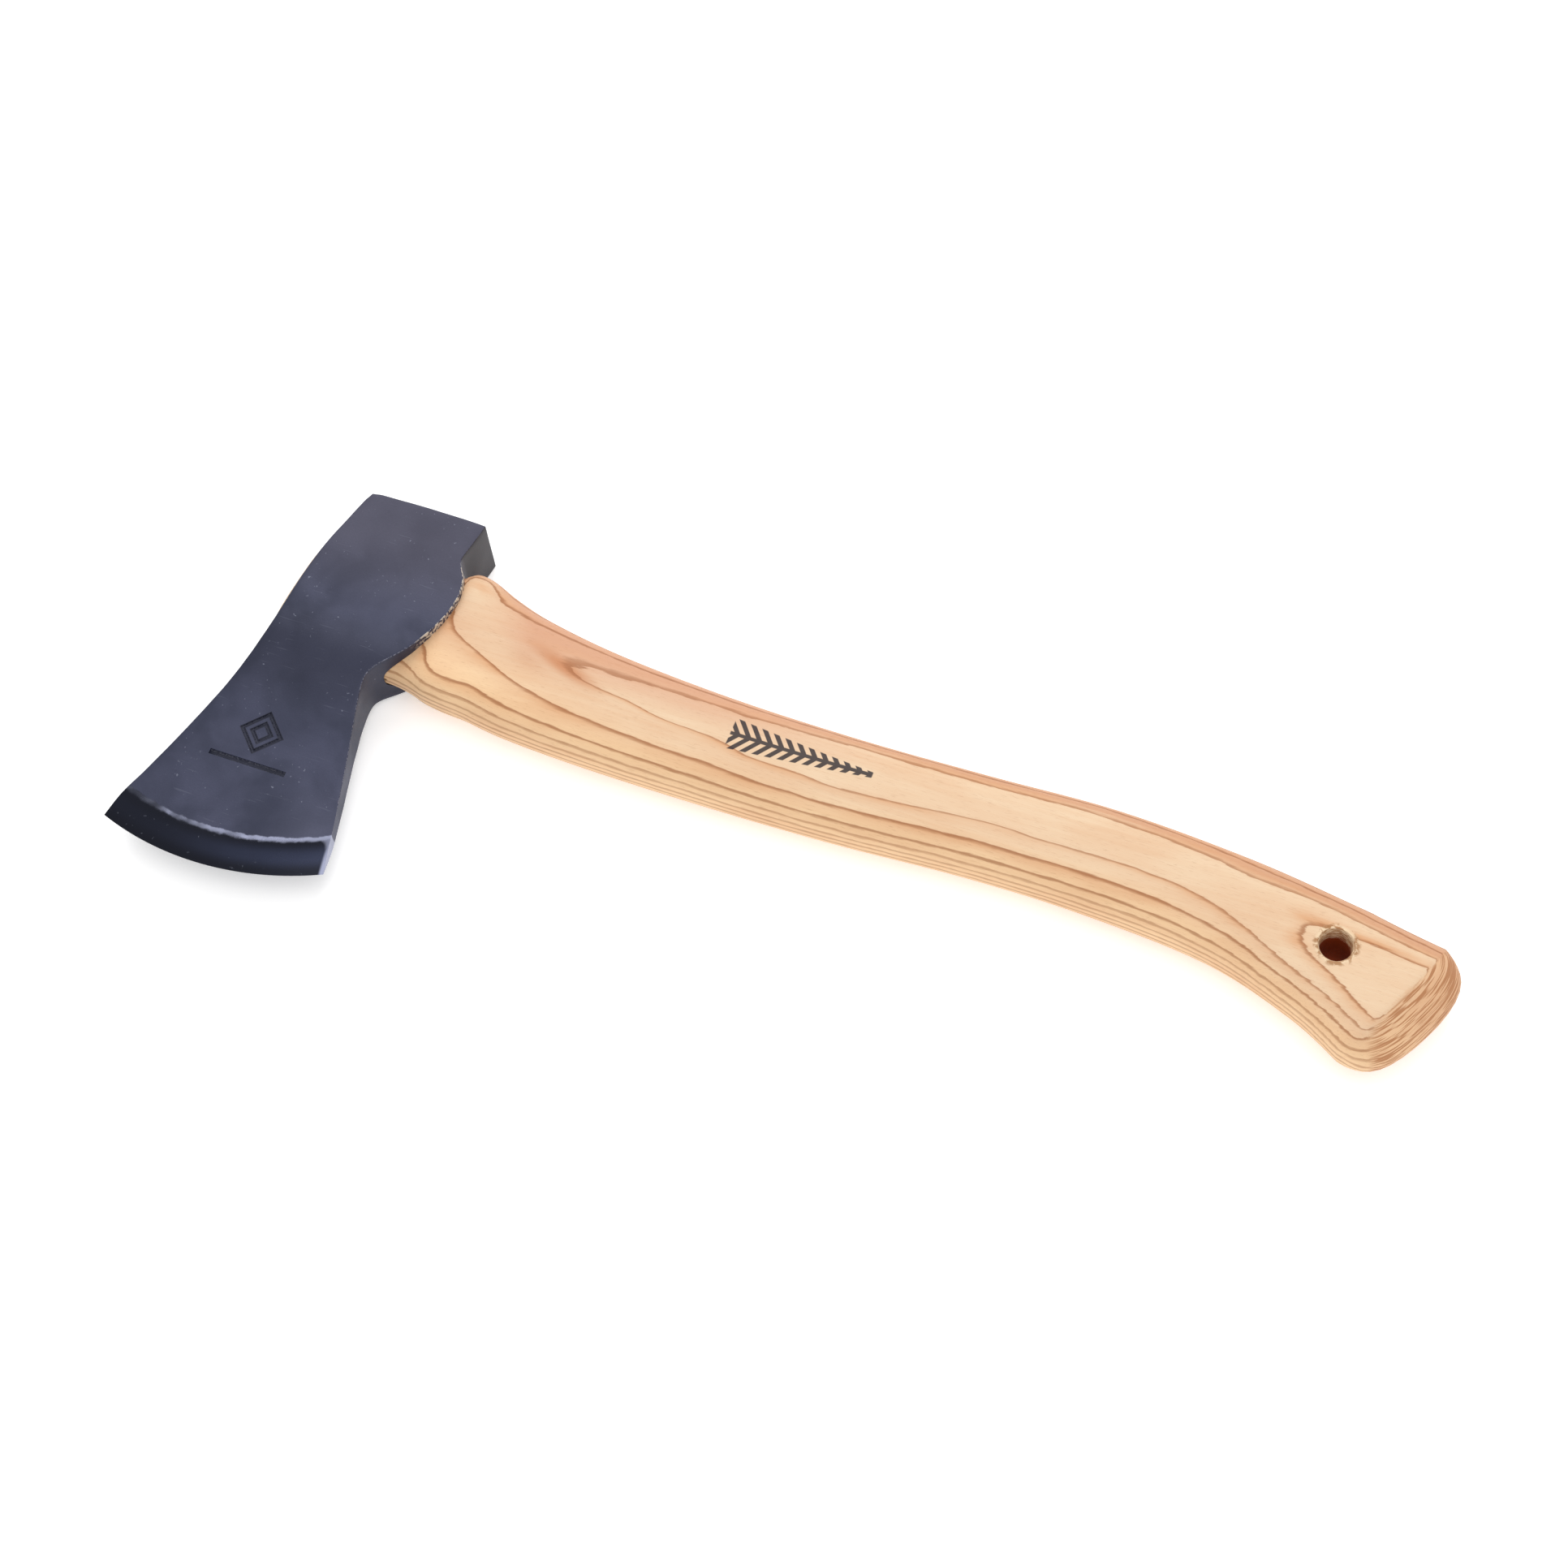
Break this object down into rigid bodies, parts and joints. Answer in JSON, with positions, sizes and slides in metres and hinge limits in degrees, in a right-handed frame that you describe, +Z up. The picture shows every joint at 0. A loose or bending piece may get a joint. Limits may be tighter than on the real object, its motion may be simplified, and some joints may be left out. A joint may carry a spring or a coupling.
{
  "type": "hatchet",
  "caption": "Hand hatchet lying on its side: forged steel head with a flared, ground blade and a square poll, wedged on a curved hardwood handle with a bored, flared knob.",
  "frame": {"origin": "centre of the bounding box in X and Y, on the surface it lies on", "axes": "+X along the handle from the head to the knob, +Y towards the poll with the cutting edge on the -Y side, +Z up through the thickness"},
  "size_m": [0.4044, 0.1352, 0.0235],
  "materials": {
    "forged_steel": "clear-lacquered dark blue-grey forging skin, with a polished ground edge",
    "handle_wood": "sanded and oiled pale hardwood",
    "wedge_wood": "sawn bare hardwood",
    "wedge_steel": "bright turned steel with hammer dents"
  },
  "bodies": {
    "root": {"axe_head": "forged_steel", "handle": "handle_wood", "wooden_wedge": "wedge_wood", "ring_wedge": "wedge_steel"}
  },
  "joints": []
}
